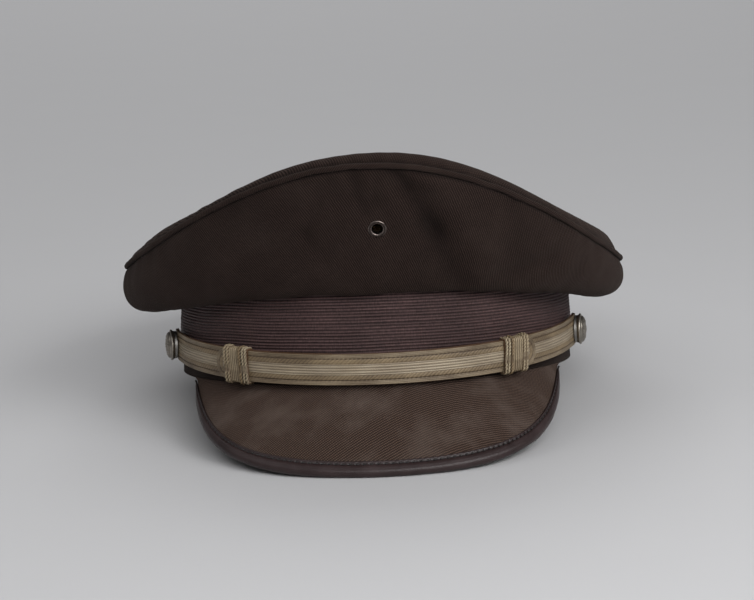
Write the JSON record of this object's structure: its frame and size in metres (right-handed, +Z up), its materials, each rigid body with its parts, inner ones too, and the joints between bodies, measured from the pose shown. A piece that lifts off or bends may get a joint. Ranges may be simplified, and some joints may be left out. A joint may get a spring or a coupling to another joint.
{
  "type": "military peaked cap",
  "caption": "Military peaked cap with a saddle-shaped piped crown, ribbed band, cloth-covered visor with a bound edge, and a lace chinstrap on domed side buttons.",
  "frame": {"origin": "on the table, under the middle of the cap's length and width, with the cap standing on its visor's front edge and on the back of its band", "axes": "-Y towards the visor, +X towards the wearer's left, +Z up from the table; the head opening's axis leans back 8.8 degrees from +Z towards +Y"},
  "size_m": [0.2361, 0.2772, 0.1331],
  "materials": {
    "crown_cloth": "dark brown wool twill",
    "piping_cloth": "dark brown twill, on the bias",
    "piping_cord": "twisted cotton",
    "braid": "ribbed mohair braid with a satin sheen",
    "band_cloth": "brown wool cloth",
    "visor_cloth": "brown wool twill, worn",
    "visor_lining": "dark brown, smooth",
    "board": "pressed fibre board",
    "binding": "dark brown, soft gloss",
    "lace": "tarnished metal thread",
    "strap_leather": "brown, smooth",
    "button_metal": "silver plated, dulled",
    "washer_metal": "plain",
    "eyelet_metal": "plated, dark with age",
    "sweatband_leather": "tan, worn smooth",
    "reed": "oilcloth over a reed",
    "wire": "spring steel",
    "canvas": "stiff linen canvas",
    "stay_steel": "flat spring, plain",
    "lining_cloth": "brown cotton sateen",
    "sweat_shield": "oiled cloth"
  },
  "bodies": {
    "cap": {"sweatband": "sweatband_leather", "sweatband_back_tape": "sweatband_leather", "sweatband_reed": "reed", "band_stiffener": "board", "band_cloth": "band_cloth", "band_braid": "braid", "crown_front_panel": "crown_cloth", "crown_rear_panel_left": "crown_cloth", "crown_rear_panel_right": "crown_cloth", "crown_top": "crown_cloth", "crown_piping_cover": "piping_cloth", "crown_piping_cord": "piping_cord", "crown_ring_wire": "wire", "crown_ring_joiner": "wire", "front_canvas": "canvas", "front_stay_left": "stay_steel", "front_stay_right": "stay_steel", "crown_side_lining": "lining_cloth", "crown_top_lining": "lining_cloth", "sweat_shield": "sweat_shield", "badge_eyelet": "eyelet_metal", "badge_eyelet_washer": "eyelet_metal", "visor_cover": "visor_cloth", "visor_board": "board", "visor_underside": "visor_lining", "visor_binding": "binding", "button_left_washer": "washer_metal", "button_right_washer": "washer_metal"},
    "chinstrap": {"strap_front_leather": "strap_leather", "strap_front_lace": "lace", "strap_left_leather": "strap_leather", "strap_left_lace": "lace", "strap_right_leather": "strap_leather", "strap_right_lace": "lace"},
    "slide_left": {"slide_left_core": "strap_leather", "slide_left_wrap": "lace"},
    "slide_right": {"slide_right_core": "strap_leather", "slide_right_wrap": "lace"},
    "button_left": {"button_left_back": "washer_metal", "button_left_shell": "button_metal", "button_left_collar": "washer_metal"},
    "button_right": {"button_right_back": "washer_metal", "button_right_shell": "button_metal", "button_right_collar": "washer_metal"}
  },
  "joints": [
    {"name": "chinstrap_swing", "type": "hinge", "parent": "cap", "child": "chinstrap", "pos_m": [0, -0.02499, 0.03384], "axis": [-1, 0, 0], "range_deg": [0, 16]},
    {"name": "slide_left_travel", "type": "hinge", "parent": "chinstrap", "child": "slide_left", "pos_m": [0, -0.00979, 0.03285], "axis": [0, -0.0652, -0.9979], "range_deg": [0, 22]},
    {"name": "slide_right_travel", "type": "hinge", "parent": "chinstrap", "child": "slide_right", "pos_m": [0, -0.00979, 0.03285], "axis": [0, 0.0652, 0.9979], "range_deg": [0, 22]},
    {"name": "button_left_turn", "type": "hinge", "parent": "cap", "child": "button_left", "pos_m": [0.09103, -0.02499, 0.03384], "axis": [0.9863, -0.1631, 0.0253], "continuous": true},
    {"name": "button_right_turn", "type": "hinge", "parent": "cap", "child": "button_right", "pos_m": [-0.09103, -0.02499, 0.03384], "axis": [-0.9863, -0.1631, 0.0253], "continuous": true}
  ]
}
